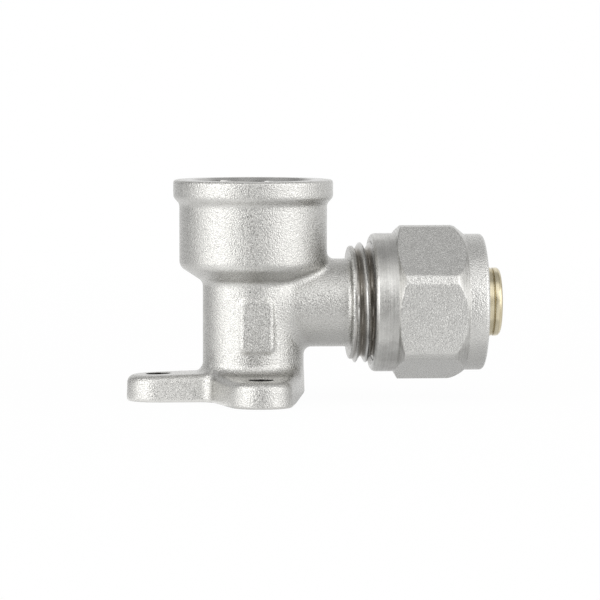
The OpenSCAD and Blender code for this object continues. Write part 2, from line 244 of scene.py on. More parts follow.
def make_object(name: str, bm: Shape) -> Piece:
    """Makes a linked object from a shape and frees the shape.

    Args:
        name: Name of the piece.
        bm: Its shape.

    Returns:
        The new object, at the origin.
    """
    mesh = bpy.data.meshes.new(name)
    bm.to_mesh(mesh)
    bm.free()
    piece = bpy.data.objects.new(name, mesh)
    bpy.context.scene.collection.objects.link(piece)
    return piece


def settle_modifiers(piece: Piece) -> None:
    """Makes the result of a piece's modifiers its mesh.

    Args:
        piece: The piece, which has no modifiers afterwards.
    """
    graph = bpy.context.evaluated_depsgraph_get()
    mesh = bpy.data.meshes.new_from_object(piece.evaluated_get(graph))
    old = piece.data
    piece.modifiers.clear()
    piece.data = mesh
    bpy.data.meshes.remove(old)


def work(piece: Piece, tool_shape: Shape, how: Cut) -> None:
    """Joins a shape to a piece, or removes it from the piece.

    Args:
        piece: The piece that is worked.
        tool_shape: The closed shape that meets it.
        how: Whether the shape is joined or removed.
    """
    tool = make_object("tool", tool_shape)
    boolean = piece.modifiers.new("work", "BOOLEAN")
    boolean.operation = how.value
    boolean.solver = "MANIFOLD"
    boolean.object = tool
    settle_modifiers(piece)
    bpy.data.objects.remove(tool)


def outline_distance(points: np.ndarray, outline: Sequence[Point]) -> np.ndarray:
    """Signed distances from points to a closed outline.

    Args:
        points: Points, one in each row.
        outline: Corners of the outline, in order.

    Returns:
        Distances, negative inside.
    """
    corners = np.array(outline)
    nearest = np.full(len(points), np.inf)
    inside = np.zeros(len(points), bool)
    for start, end in zip(corners, np.roll(corners, -1, axis=0)):
        edge = end - start
        if not edge.any():
            continue
        way = points - start
        share = np.clip(way @ edge / (edge @ edge), 0.0, 1.0)
        gap = way - share[:, None] * edge
        nearest = np.minimum(nearest, np.einsum("ij,ij->i", gap, gap))
        if edge[1]:
            spans = (start[1] > points[:, 1]) != (end[1] > points[:, 1])
            inside ^= spans & (way[:, 0] < edge[0] * way[:, 1] / edge[1])
    return np.where(inside, -1.0, 1.0) * np.sqrt(nearest)


def blend_join(a: np.ndarray, b: np.ndarray, radius: float) -> np.ndarray:
    """Distance to two forms joined by a hollow fillet.

    Args:
        a: Distances to one form.
        b: Distances to the other form.
        radius: Radius of the fillet.

    Returns:
        Distances to the joined form.
    """
    near = np.hypot(np.maximum(radius - a, 0.0), np.maximum(radius - b, 0.0))
    return np.maximum(radius, np.minimum(a, b)) - near


def blend_trim(a: np.ndarray, b: np.ndarray, radius: float) -> np.ndarray:
    """Distance to what two forms share, with a rounded edge where they meet.

    Args:
        a: Distances to one form.
        b: Distances to the other form.
        radius: Radius of the edge.

    Returns:
        Distances to the shared form.
    """
    far = np.hypot(np.maximum(radius + a, 0.0), np.maximum(radius + b, 0.0))
    return np.minimum(-radius, np.maximum(a, b)) + far


def point_rows(piece: Piece) -> np.ndarray:
    """Reads a piece's points.

    Args:
        piece: The piece.

    Returns:
        The points, one in each row.
    """
    flat = np.empty(len(piece.data.vertices) * 3)
    piece.data.vertices.foreach_get("co", flat)
    return flat.reshape(-1, 3)


def draw_onto(
    piece: Piece,
    form: Field,
    box: tuple[np.ndarray, np.ndarray],
    rounds: int = 6,
    longest: float = 0.3 * MM,
    gentlest: float = 0.2,
) -> None:
    """Moves a piece's points onto the surface where a field is zero.

    Args:
        piece: The piece, whose points are near that surface.
        form: Signed distances to the surface, for points one in each row.
        box: Lowest and highest corner of the surface.
        rounds: Number of moves.
        longest: Longest move in each round.
        gentlest: Least squared steepness that a move counts on.
    """
    points = point_rows(piece)
    for _ in range(rounds):
        value = form(points)
        slope = np.stack([(form(points + step) - value) / TOUCH for step in np.eye(3) * TOUCH], axis=1)
        steepness = np.maximum(np.einsum("ij,ij->i", slope, slope), gentlest)
        move = np.clip(value / steepness, -longest, longest)
        points = np.clip(points - slope * move[:, None], *box)
    piece.data.vertices.foreach_set("co", points.ravel())
    piece.data.update()


def shade(piece: Piece, sharp_angle: float) -> None:
    """Shades a piece smoothly, with sharp edges past an angle.

    Args:
        piece: The piece.
        sharp_angle: Angle between faces past which their edge stays sharp, in degrees.
    """
    piece.data.shade_smooth()
    piece.data.set_sharp_from_angle(angle=math.radians(sharp_angle))


class NodeSheet:
    """Short way to place and join the nodes of one material."""

    def __init__(self, name: str) -> None:
        """Starts a material with an empty sheet and its output."""
        self.material = bpy.data.materials.new(name)
        self.material.use_nodes = True
        self.tree = self.material.node_tree
        self.tree.nodes.clear()
        self.output = self.add("ShaderNodeOutputMaterial")

    def add(self, kind: str, **settings: object) -> bpy.types.Node:
        """Adds a node.

        Args:
            kind: Blender's name for the node's type.
            **settings: Properties of the node.

        Returns:
            The node.
        """
        node = self.tree.nodes.new(kind)
        for name, value in settings.items():
            setattr(node, name, value)
        return node

    def feed(self, source: Source, target: Socket) -> None:
        """Feeds a socket from another socket or with a plain value."""
        if isinstance(source, Socket):
            self.tree.links.new(source, target)
        else:
            target.default_value = source

    def math(self, operation: str, *values: Socket | float) -> Socket:
        """Works out a number.

        Args:
            operation: Blender's name for the operation.
            *values: Its inputs.

        Returns:
            The socket with the result.
        """
        node = self.add("ShaderNodeMath", operation=operation)
        for socket, value in zip(node.inputs, values):
            self.feed(value, socket)
        return node.outputs[0]

    def blend(self, one: Socket, other: Socket, share: float) -> Socket:
        """Mixes two patterns, the first by a share and the second by the rest."""
        return self.math("MULTIPLY_ADD", one, share, self.math("MULTIPLY", other, 1.0 - share))

    def object_place(self) -> Socket:
        """Gives the place on the piece, in metres."""
        return self.add("ShaderNodeTexCoord").outputs["Object"]

    def across_rings(self, axis: Colour, origin: Colour) -> Socket:
        """Gives the way across rings that go round an axis, along the surface.

        Args:
            axis: Direction of the axis.
            origin: A point on the axis.

        Returns:
            The socket with the direction.
        """
        coordinates = self.add("ShaderNodeTexCoord")
        away = self.add("ShaderNodeVectorMath", operation="SUBTRACT")
        self.feed(coordinates.outputs["Object"], away.inputs[0])
        away.inputs[1].default_value = origin
        around = self.add("ShaderNodeVectorMath", operation="CROSS_PRODUCT")
        around.inputs[0].default_value = axis
        self.feed(away.outputs[0], around.inputs[1])
        across = self.add("ShaderNodeVectorMath", operation="CROSS_PRODUCT")
        self.feed(around.outputs[0], across.inputs[0])
        self.feed(coordinates.outputs["Normal"], across.inputs[1])
        even = self.add("ShaderNodeVectorMath", operation="NORMALIZE")
        self.feed(across.outputs[0], even.inputs[0])
        turn = self.add(
            "ShaderNodeVectorTransform", vector_type="VECTOR", convert_from="OBJECT", convert_to="WORLD"
        )
        self.feed(even.outputs[0], turn.inputs[0])
        return turn.outputs[0]

    def noise(
        self,
        place: Socket,
        grain: float,
        detail: float = 2.0,
        roughness: float = 0.5,
    ) -> Socket:
        """Adds a cloudy pattern.

        Args:
            place: Place at which the pattern is read.
            grain: Size of its largest spots, in metres.
            detail: Number of finer layers.
            roughness: Strength of the finer layers.

        Returns:
            The socket with the pattern, about 0.5 on average.
        """
        node = self.add("ShaderNodeTexNoise")
        self.feed(place, node.inputs["Vector"])
        node.inputs["Scale"].default_value = 1.0 / grain
        node.inputs["Detail"].default_value = detail
        node.inputs["Roughness"].default_value = roughness
        return node.outputs["Fac"]

    def ramp(
        self,
        value: Socket,
        source: Point,
        target: Point,
    ) -> Socket:
        """Spreads a value from one range onto another, held at its ends.

        Args:
            value: The value.
            source: Range that it is read from.
            target: Range that it is spread onto.

        Returns:
            The socket with the result.
        """
        node = self.add("ShaderNodeMapRange")
        node.inputs["From Min"].default_value, node.inputs["From Max"].default_value = source
        node.inputs["To Min"].default_value, node.inputs["To Max"].default_value = target
        self.feed(value, node.inputs["Value"])
        return node.outputs["Result"]

    def tint(
        self,
        share: Socket,
        low: Colour | Socket,
        high: Colour | Socket,
    ) -> Socket:
        """Mixes two colours by a share.

        Args:
            share: Zero for the low colour and one for the high colour.
            low: One colour.
            high: The other colour.

        Returns:
            The socket with the colour.
        """
        node = self.add("ShaderNodeMix", data_type="RGBA")
        self.feed(share, node.inputs["Factor"])
        for name, colour in (("A", low), ("B", high)):
            socket = next(item for item in node.inputs if item.name == name and item.type == "RGBA")
            self.feed((*colour, 1.0) if isinstance(colour, tuple) else colour, socket)
        return next(item for item in node.outputs if item.type == "RGBA")

    def bump(
        self,
        height: Socket,
        depth: float,
        below: Socket | None = None,
    ) -> Socket:
        """Raises the surface by a pattern.

        Args:
            height: The pattern, from zero to one.
            depth: Height that one stands for, in metres.
            below: Surface that it is raised on, if it isn't the plain one.

        Returns:
            The socket with the raised surface.
        """
        node = self.add("ShaderNodeBump")
        node.inputs["Distance"].default_value = depth
        self.feed(height, node.inputs["Height"])
        if below is not None:
            self.feed(below, node.inputs["Normal"])
        return node.outputs["Normal"]

    def surface(self, metallic: float, **sockets: Source) -> Material:
        """Ends the sheet in one shader.

        Args:
            metallic: One for metal and zero for the rest.
            **sockets: The shader's inputs, with _ for a space in their names.

        Returns:
            The finished material.
        """
        shader = self.add("ShaderNodeBsdfPrincipled")
        shader.inputs["Metallic"].default_value = metallic
        for name, value in sockets.items():
            self.feed(value, shader.inputs[name.replace("_", " ")])
        self.feed(shader.outputs[0], self.output.inputs["Surface"])
        return self.material


@dataclass(frozen=True)
class BlastedNickel:
    """Nickel on a forging that was blasted with fine shot.

    Attributes:
        name: Name of the material.
        dark: Colour in the dimples.
        bright: Colour on the ridges.
        grain: Size of the dimples.
        depth: Depth of the dimples.
        gloss: Lowest and highest roughness.
        clouding: Share of broad clouds in the colour.
        cloud: Size of the clouds, in dimples.
        contrast: Part of the pattern that the two colours spread over.
    """

    name: str = "blasted_nickel"
    dark: Colour = (0.52, 0.514, 0.495)
    bright: Colour = (0.57, 0.564, 0.545)
    grain: float = 0.21 * MM
    depth: float = 0.12 * MM
    gloss: Point = (0.20, 0.32)
    clouding: float = 0.3
    cloud: float = 9.0
    contrast: Point = (0.34, 0.62)

    def material(self) -> Material:
        """Builds the finish.

        Returns:
            The material.
        """
        sheet = NodeSheet(self.name)
        place = sheet.object_place()
        shot = sheet.noise(place, self.grain, detail=1.0, roughness=0.5)
        cloud = sheet.noise(place, self.cloud * self.grain, detail=3.0)
        tone = sheet.blend(cloud, shot, self.clouding)
        return sheet.surface(
            1.0,
            Base_Color=sheet.tint(sheet.ramp(tone, self.contrast, (0.0, 1.0)), self.dark, self.bright),
            Roughness=sheet.ramp(shot, NOISE_SPAN, self.gloss),
            Normal=sheet.bump(shot, self.depth),
        )


@dataclass(frozen=True)
class TurnedMetal:
    """Metal turned on a lathe, with fine rings about its axis.

    Attributes:
        name: Name of the material.
        about: Axis that the rings go round.
        height: Height of the branch's axis over the wall.
        dark: Colour in the rings.
        bright: Colour between them.
        spacing: Distance between broad rings.
        depth: Depth of the rings.
        gloss: Lowest and highest roughness.
        brushed: How much the rings draw out the gloss across them.
        root_shade: Painted shade in the roots of a thread.
        roots: Radii where a thread's painted root shade is full and where it has faded to the clean crests,
            if there is one.
        clouding: Share of broad clouds in the colour.
        cloud: Size of the clouds.
        contrast: Part of the pattern that the two colours spread over.
    """

    name: str
    about: Axis
    height: float
    dark: Colour = (0.40, 0.395, 0.385)
    bright: Colour = (0.60, 0.595, 0.58)
    spacing: float = 0.3 * MM
    depth: float = 0.01 * MM
    gloss: Point = (0.22, 0.34)
    brushed: float = 0.6
    root_shade: Colour = (0.30, 0.28, 0.25)
    roots: Point | None = None
    clouding: float = 0.4
    cloud: float = 2.2 * MM
    contrast: Point = (0.34, 0.64)

    def material(self) -> Material:
        """Builds the finish.

        Returns:
            The material.
        """
        sheet = NodeSheet(self.name)
        place = sheet.object_place()
        split = sheet.add("ShaderNodeSeparateXYZ")
        sheet.feed(place, split.inputs[0])
        east, north, up = split.outputs
        if self.about is Axis.BRANCH:
            along = east
            across = sheet.math("SUBTRACT", up, self.height)
            tangent = sheet.across_rings((1.0, 0.0, 0.0), (0.0, 0.0, self.height))
        else:
            along = up
            across = east
            tangent = sheet.across_rings((0.0, 0.0, 1.0), (0.0, 0.0, 0.0))
        square = sheet.math("ADD", sheet.math("POWER", across, 2.0), sheet.math("POWER", north, 2.0))
        radius = sheet.math("SQRT", square)
        lathe = sheet.add("ShaderNodeCombineXYZ")
        sheet.feed(along, lathe.inputs["X"])
        sheet.feed(radius, lathe.inputs["Y"])
        rings = sheet.noise(lathe.outputs[0], self.spacing, detail=2.0, roughness=0.7)
        grain = sheet.noise(place, 0.6 * self.spacing, detail=2.0)
        cloud = sheet.noise(place, self.cloud, detail=3.0)
        tone = sheet.blend(cloud, rings, self.clouding)
        surface = sheet.bump(rings, self.depth)
        colour = sheet.tint(sheet.ramp(tone, self.contrast, (0.0, 1.0)), self.dark, self.bright)
        if self.roots is not None:
            # Painted shade: the colour darkens towards a thread's roots.
            colour = sheet.tint(sheet.ramp(radius, self.roots, (0.0, 1.0)), self.root_shade, colour)
        return sheet.surface(
            1.0,
            Base_Color=colour,
            Roughness=sheet.ramp(grain, NOISE_SPAN, self.gloss),
            Normal=sheet.bump(grain, 0.3 * self.depth, surface),
            Anisotropic=self.brushed,
            Tangent=tangent,
        )


@dataclass(frozen=True)
class SealRubber:
    """Black rubber of the seals, slightly dull, with moulding specks."""

    name: str = "seal_rubber"
    dark: Colour = (0.012, 0.012, 0.013)
    bright: Colour = (0.03, 0.03, 0.031)

    def material(self) -> Material:
        """Builds the finish.

        Returns:
            The material.
        """
        sheet = NodeSheet(self.name)
        place = sheet.object_place()
        specks = sheet.noise(place, 0.12 * MM, detail=3.0)
        cloud = sheet.noise(place, 1.5 * MM)
        return sheet.surface(
            0.0,
            Base_Color=sheet.tint(cloud, self.dark, self.bright),
            Roughness=sheet.ramp(specks, NOISE_SPAN, (0.38, 0.6)),
            Normal=sheet.bump(specks, 0.004 * MM),
        )


@dataclass(frozen=True)
class WasherPlastic:
    """White nylon of the insulating washer, faintly clouded."""

    name: str = "washer_plastic"
    dark: Colour = (0.72, 0.715, 0.69)
    bright: Colour = (0.82, 0.815, 0.79)

    def material(self) -> Material:
        """Builds the finish.

        Returns:
            The material.
        """
        sheet = NodeSheet(self.name)
        place = sheet.object_place()
        cloud = sheet.noise(place, 1.8 * MM, detail=3.0)
        skin = sheet.noise(place, 0.15 * MM)
        return sheet.surface(
            0.0,
            Base_Color=sheet.tint(cloud, self.dark, self.bright),
            Roughness=sheet.ramp(skin, NOISE_SPAN, (0.35, 0.5)),
            Normal=sheet.bump(skin, 0.003 * MM),
            Subsurface_Weight=0.15,
            Subsurface_Scale=0.4 * MM,
        )


@dataclass(frozen=True)
class PipeThread:
    """Parallel pipe thread of half an inch.

    Attributes:
        crest_r: Radius over the crests of the male thread.
        root_r: Radius at the roots of the male thread.
        pitch: Distance between crests.
        crest_top: Place of a crest along the branch, on the branch's upper side.
        rounding: Part of the thread's depth over which crests and roots are rounded.
        peak: Height at which the flanks would meet, in depths of the thread.
        fall: Fall of the flanks, in depths for each pitch.
        stations_each: Stations along each pitch.
    """

    crest_r: float = 10.48 * MM
    root_r: float = 9.32 * MM
    pitch: float = 1.814 * MM
    crest_top: float = 18.55 * MM
    rounding: float = 0.34
    peak: float = 1.25
    fall: float = 3.0
    stations_each: int = 12

    @property
    def spacing(self) -> float:
        """Distance between the stations that draw the thread."""
        return self.pitch / self.stations_each

    def radius(self, along: float, angle: float) -> float:
        """Gives the radius of the thread's surface.

        Args:
            along: Distance along the axis.
            angle: Angle about the axis in radians, from the top of the branch to its front.

        Returns:
            The radius, between the roots and the crests.
        """
        turns = (along - self.crest_top) / self.pitch - angle / FULL_TURN
        away = abs(turns - round(turns))
        ridge = self.peak - self.fall * away
        share = soft_min(-soft_min(-ridge, 0.0, self.rounding), 1.0, self.rounding)
        return self.root_r + (self.crest_r - self.root_r) * share


@dataclass
class ForgedElbow:
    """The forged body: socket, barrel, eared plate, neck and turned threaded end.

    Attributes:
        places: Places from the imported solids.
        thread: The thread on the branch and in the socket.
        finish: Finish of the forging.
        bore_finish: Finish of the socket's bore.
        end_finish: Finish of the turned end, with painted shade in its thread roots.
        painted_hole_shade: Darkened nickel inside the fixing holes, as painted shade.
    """

    places: Places
    thread: PipeThread
    finish: BlastedNickel
    bore_finish: TurnedMetal
    end_finish: TurnedMetal
    painted_hole_shade: TurnedMetal
    socket_r: float = 12.8 * MM
    rim_r: float = 13.85 * MM
    rim_height: float = 3.6 * MM
    rim_step: float = 1.15 * MM
    rim_bend: float = 1.2 * MM
    rim_edge: float = 0.5 * MM
    socket_length: float = 15.0 * MM
    shoulder_angle: float = 33.0
    shoulder_round: float = 1.8 * MM
    shoulder_fillet: float = 1.4 * MM
    barrel_r: float = 8.75 * MM
    foot_fillet: float = 1.8 * MM
    neck_r: float = 7.64 * MM
    neck_fillet: float = 1.3 * MM
    neck_reach: float = 16.5 * MM
    plate_thickness: float = 5.2 * MM
    plate_draft: float = 1.9
    hub_r: float = 8.95 * MM
    ear_r: float = 5.5 * MM
    ear_hollow: float = 2.0 * MM
    hole_r: float = 2.2 * MM
    hole_edge: float = 0.05 * MM
    upper_edge: float = 1.3 * MM
    lower_edge: float = 0.4 * MM
    flank_draft: float = 0.15 * MM
    bevel_height: float = 1.2 * MM
    bevel_length: float = 3.0 * MM
    pad_width: float = 5.1 * MM
    pad_height: float = 9.0 * MM
    pad_level: float = 13.2 * MM
    pad_rise: float = 0.12 * MM
    pad_draft: float = 0.85 * MM
    pad_corner: float = 1.0 * MM
    pad_edge: float = 0.12 * MM
    collar_r: float = 9.85 * MM
    collar_length: float = 0.9 * MM
    collar_fillet: float = 0.8 * MM
    run_out: float = 0.2 * MM
    thread_chamfer: float = 0.7 * MM
    seat_length: float = 3.6 * MM
    seat_angle: float = 30.0
    spigot_bore_r: float = 6.05 * MM
    neck_bore_r: float = 4.4 * MM
    waterway_r: float = 5.6 * MM
    female_depth: float = 14.5 * MM
    thread_depth: float = 12.6 * MM
    mouth_chamfer: float = 1.3 * MM
    drill_slope: float = 31.0
    lead_in_slope: float = 2.0
    run_out_slope: float = 0.7
    overcut: float = 0.5 * MM
    bore_margin: float = 0.1 * MM
    facets: int = 128
    thread_facets: int = 144
    hole_facets: int = 96
    post_facets: int = 64
    sharp_angle: float = 38.0
    voxel: float = 0.28 * MM

    @property
    def ear_reach(self) -> float:
        """Distance from the socket's axis to each fixing hole."""
        return self.places.plate_reach - self.ear_r

    @property
    def neck_end(self) -> float:
        """End of the round neck, inside the collar."""
        return self.neck_reach + self.collar_length / 2

    @property
    def holes(self) -> list[Point]:
        """Places of the fixing holes."""
        return [(-self.ear_reach, 0.0), (0.0, -self.ear_reach), (0.0, self.ear_reach)]

    def wall_outline(self) -> list[Point]:
        """Outline of the socket, shoulder and barrel.

        Returns:
            Points as (radius, height), closed along the axis.
        """
        shoulder = self.places.mouth - self.socket_length
        drop = (self.socket_r - self.barrel_r) * math.tan(math.radians(self.shoulder_angle))
        step = self.places.mouth - self.rim_height
        inner = -self.barrel_r
        return rounded(
            [
                (inner, self.places.mouth, 0.0),
                (inner, self.lower_edge, 0.0),
                (self.barrel_r, self.lower_edge, 0.0),
                (self.barrel_r, shoulder - drop, self.shoulder_fillet),
                (self.socket_r, shoulder, self.shoulder_round),
                (self.socket_r, step - self.rim_step / 2, self.rim_bend),
                (self.rim_r, step + self.rim_step / 2, self.rim_bend),
                (self.rim_r, self.places.mouth, self.rim_edge),
            ]
        )

    def plate_outline(self) -> list[Point]:
        """Outline of the plate: the hub, two ears across it and one opposite the branch.

        Returns:
            Points as (x, y).
        """
        tilt = math.asin((self.hub_r - self.ear_r) / self.ear_reach)
        hollow_y = self.ear_r + self.ear_hollow
        hollow_x = (math.sin(tilt) * hollow_y - self.hub_r - self.ear_hollow) / math.cos(tilt)
        arcs = [
            (0.0, 0.0, self.hub_r, 0.0, tilt),
            (0.0, self.ear_reach, self.ear_r, tilt, math.pi - tilt),
            (hollow_x, hollow_y, self.ear_hollow, -tilt, -math.pi / 2),
            (-self.ear_reach, 0.0, self.ear_r, math.pi / 2, math.pi),
        ]
        half = []
        for x, y, radius, start, end in arcs:
            count = max(3, round(radius * abs(end - start) / (0.5 * MM)))
            for i in range(count + 1):
                angle = start + (end - start) * i / count
                half.append((x + radius * math.cos(angle), y + radius * math.sin(angle)))
        return half + [(x, -y) for x, y in half[-2:0:-1]]

    def pad_outline(self) -> list[Point]:
        """Outline of the pad's face, seen from the front.

        Returns:
            Points as (x, z).
        """
        wide = self.pad_width / 2
        low = self.pad_level - self.pad_height / 2
        high = self.pad_level + self.pad_height / 2
        corners = [(wide, low), (wide, high), (-wide, high), (-wide, low)]
        return rounded([(x, z, self.pad_corner) for x, z in corners])

    def field(self) -> Field:
        """Works out the finished forging as signed distances.

        Returns:
            A function from points to their distances, negative inside the metal.
        """
        wall = self.wall_outline()
        plate = self.plate_outline()
        pad = self.pad_outline()
        fall = math.tan(math.radians(self.plate_draft))
        bevel = math.atan2(self.bevel_height, self.bevel_length)
        bevel_start = self.hub_r - self.bevel_length
        pad_face = self.barrel_r + self.pad_rise
        pad_foot = math.sqrt(self.barrel_r**2 - (self.pad_width / 2 + self.pad_draft) ** 2)
        flank = math.atan2(self.pad_draft, pad_face - pad_foot)

        def distance(points: np.ndarray) -> np.ndarray:
            """Signed distances from points to the forging's skin."""
            x, y, z = points.T
            reach = np.hypot(x, y)
            body = outline_distance(np.stack([reach, z], axis=1), wall)
            neck = np.hypot(y, z - self.places.axis) - self.neck_r
            neck = np.maximum(np.maximum(neck, x - self.neck_end), -x)
            side = np.maximum(reach - self.places.plate_reach, z - self.plate_thickness)
            low = z < self.plate_thickness + 2 * self.foot_fillet
            side[low] = outline_distance(points[low, :2], plate)
            lean = self.flank_draft * np.clip(z / self.plate_thickness, 0.0, 1.0)
            slab = blend_trim(side + lean, z - self.plate_thickness + reach * fall, self.upper_edge)
            slab = blend_trim(slab, -z, self.lower_edge)
            under = (x - bevel_start) * math.sin(bevel) - z * math.cos(bevel)
            facing = y < -self.barrel_r / 2
            inset = outline_distance(points[facing, ::2], pad) - (pad_face + y[facing]) * math.tan(flank)
            step = np.full(len(points), self.barrel_r)
            step[facing] = blend_trim(inset * math.cos(flank), -y[facing] - pad_face, self.pad_edge)
            whole = blend_join(body, neck, self.neck_fillet)
            foot = blend_trim(blend_join(whole, slab, self.foot_fillet), side + lean, self.lower_edge)
            whole = np.minimum(np.minimum(whole, slab), foot)
            whole = blend_trim(whole, under, self.lower_edge)
            return blend_join(whole, step, self.pad_edge)

        return distance

    def post(self, bm: Shape, x: float, y: float, radius: float) -> None:
        """Adds a round post as high as the plate to a shape.

        Args:
            bm: The shape.
            x: Place of the post.
            y: Place of the post.
            radius: Radius of the post.
        """
        bmesh.ops.create_cone(
            bm,
            cap_ends=True,
            segments=self.post_facets,
            radius1=radius,
            radius2=radius,
            depth=self.plate_thickness,
            matrix=Matrix.Translation((x, y, self.plate_thickness / 2)),
        )

    def blank(self) -> Shape:
        """Makes the forging's blank: a turned body, a round neck and a flat eared plate.

        Returns:
            The blank as closed shapes that overlap.
        """
        whole = spun(
            [(0.0, self.places.mouth)]
            + [(radius, height) for radius, height in reversed(self.wall_outline()) if radius > 0]
            + [(0.0, self.lower_edge)],
            self.facets,
        )
        neck = [(0.0, 0.0), (self.neck_r, 0.0), (self.neck_r, self.neck_end), (0.0, self.neck_end)]
        shapes = [lay_along_branch(spun(neck, self.facets), self.places.axis)]
        arms = [
            [(0.0, self.ear_reach, self.ear_r), (0.0, 0.0, self.hub_r), (0.0, -self.ear_reach, self.ear_r)],
            [(-self.ear_reach, 0.0, self.ear_r), (0.0, 0.0, self.ear_r)],
        ]
        for posts in arms:
            arm = bmesh.new()
            for x, y, radius in posts:
                self.post(arm, x, y, radius)
            hull = bmesh.ops.convex_hull(arm, input=arm.verts)
            outside = {item for item in hull["geom"] if isinstance(item, bmesh.types.BMFace)}
            inside = [face for face in arm.faces if face not in outside]
            bmesh.ops.delete(arm, geom=inside, context="FACES_ONLY")
            bmesh.ops.recalc_face_normals(arm, faces=arm.faces)
            shapes.append(arm)
        for shape in shapes:
            part = bpy.data.meshes.new("part")
            shape.to_mesh(part)
            shape.free()
            whole.from_mesh(part)
            bpy.data.meshes.remove(part)
        return whole

    def turned_end(self) -> Shape:
        """Makes the turned end of the branch: collar and male thread.

        Returns:
            The solid end, in its place.
        """
        start = self.neck_reach - 2 * self.collar_fillet
        thread_start = self.neck_reach + self.collar_length - self.run_out
        end = self.places.thread_end
        outline = rounded(
            [
                (0.0, start, 0.0),
                (self.neck_r, start, 0.0),
                (self.neck_r, self.neck_reach, self.collar_fillet),
                (self.collar_r, self.neck_reach, self.collar_fillet / 2),
                (self.collar_r, thread_start, 0.0),
            ]
        )
        outline += [
            (self.thread.crest_r, level) for level in stations(thread_start, end, self.thread.spacing)
        ]
        outline += [(self.thread.root_r, end), (0.0, end)]
        bm = spun(outline, self.thread_facets)
        for vert in bm.verts:
            reach = math.hypot(vert.co.x, vert.co.y)
            if reach < self.thread.root_r - self.bore_margin or not thread_start < vert.co.z <= end:
                continue
            angle = math.atan2(-vert.co.y, -vert.co.x)
            cut = self.thread.radius(vert.co.z, angle)
            lead_in = self.collar_r + (vert.co.z - thread_start) * self.lead_in_slope
            lead_out = self.thread.crest_r - self.thread_chamfer + (end - vert.co.z)
            grown = min(cut, lead_in, lead_out)
            set_reach(vert, grown)
        return lay_along_branch(bm, self.places.axis)

    def branch_bore(self) -> Shape:
        """Makes the tool for the branch's bores and its conical seat.

        Returns:
            The tool, in its place.
        """
        end = self.places.thread_end
        over = self.overcut
        widen = math.tan(math.radians(self.seat_angle))
        seat_r = self.spigot_bore_r + self.seat_length * widen
        bm = spun(
            [
                (0.0, 0.0),
                (self.neck_bore_r, 0.0),
                (self.neck_bore_r, self.places.insert_back),
                (self.spigot_bore_r, self.places.insert_back),
                (self.spigot_bore_r, end - self.seat_length),
                (seat_r + over * widen, end + over),
                (0.0, end + over),
            ],
            self.facets,
        )
        return lay_along_branch(bm, self.places.axis)

    def socket_bore(self) -> Shape:
        """Makes the tool for the socket's threaded bore and the waterway below it.

        Returns:
            The tool, in its place.
        """
        over = self.overcut
        mouth = self.places.mouth
        bore_r = self.thread.root_r
        bore_floor = mouth - self.female_depth
        slope = math.tan(math.radians(self.drill_slope))
        turn = self.places.axis - self.waterway_r
        thread_floor = mouth - self.thread_depth
        outline = [
            (0.0, mouth + over),
            (bore_r + self.mouth_chamfer + over, mouth + over),
            (bore_r + self.mouth_chamfer, mouth),
        ]
        outline += [(bore_r, level) for level in stations(mouth, thread_floor, self.thread.spacing)]
        outline += [
            (bore_r, thread_floor),
            (bore_r, bore_floor),
            (self.waterway_r, bore_floor - (bore_r - self.waterway_r) * slope),
            (self.waterway_r, turn),
            (0.0, turn - self.waterway_r * slope),
        ]
        bm = spun(outline, self.thread_facets)
        for vert in bm.verts:
            reach = math.hypot(vert.co.x, vert.co.y)
            if reach < bore_r - self.bore_margin or not thread_floor < vert.co.z < mouth:
                continue
            angle = math.atan2(vert.co.y, vert.co.x)
            cut = self.thread.radius(vert.co.z, angle)
            run_out = bore_r + (vert.co.z - thread_floor) * self.run_out_slope
            sunk = max(min(cut, run_out), bore_r + self.mouth_chamfer - (mouth - vert.co.z))
            set_reach(vert, sunk)
        return bm

    def fixing_holes(self) -> list[Shape]:
        """Makes the tools for the fixing holes, with broken edges.

        Returns:
            One tool for each hole, in its place.
        """
        top = self.plate_thickness - self.ear_reach * math.tan(math.radians(self.plate_draft))
        over = self.hole_r
        wide = self.hole_r + self.hole_edge
        tools = []
        for x, y in self.holes:
            bm = spun(
                [
                    (0.0, -over),
                    (wide + over, -over),
                    (self.hole_r, self.hole_edge),
                    (self.hole_r, top - self.hole_edge),
                    (wide + over, top + over),
                    (0.0, top + over),
                ],
                self.hole_facets,
            )
            bmesh.ops.translate(bm, verts=bm.verts, vec=(x, y, 0.0))
            tools.append(bm)
        return tools

    def build(self) -> Piece:
        """Builds the forging, works it and dresses it.

        Returns:
            The finished piece.
        """
        piece = make_object("forged_elbow", self.blank())
        blank_points = point_rows(piece)
        box = (blank_points.min(axis=0), blank_points.max(axis=0))
        remesh = piece.modifiers.new("skin", "REMESH")
        remesh.mode = "VOXEL"
        remesh.voxel_size = self.voxel
        settle_modifiers(piece)
        draw_onto(piece, self.field(), box)
        work(piece, self.turned_end(), Cut.JOIN)
        work(piece, self.branch_bore(), Cut.REMOVE)
        work(piece, self.socket_bore(), Cut.REMOVE)
        for tool in self.fixing_holes():
            work(piece, tool, Cut.REMOVE)
        shade(piece, self.sharp_angle)
        self.dress(piece)
        return piece

    def dress(self, piece: Piece) -> None:
        """Gives the forging and its turned faces their finishes, the fixing holes their painted shade, and
        the piece its place in the frame.

        Args:
            piece: The finished shape.
        """
        piece.data.materials.clear()
        for finish in (self.finish, self.bore_finish, self.end_finish, self.painted_hole_shade):
            piece.data.materials.append(finish.material())
        bore_r = self.thread.crest_r + self.bore_margin
        inside_r = self.hole_r + self.hole_edge / 2
        for face in piece.data.polygons:
            x, y, z = face.center
            outward = face.normal.x * x + face.normal.y * y > 0
            in_plate = z < self.plate_thickness
            in_socket = math.hypot(x, y) < bore_r + self.mouth_chamfer and z > self.plate_thickness
            if x > self.neck_reach + self.collar_fillet / 2:
                face.material_index = 2
            # Faces inside the fixing holes get the painted shade.
            elif in_plate and any(math.hypot(x - a, y - b) < inside_r for a, b in self.holes):
                face.material_index = 3
            elif in_socket and not outward:
                face.material_index = 1
            else:
                face.material_index = 0
        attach(piece, "elbow")
        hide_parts("elbow_body")


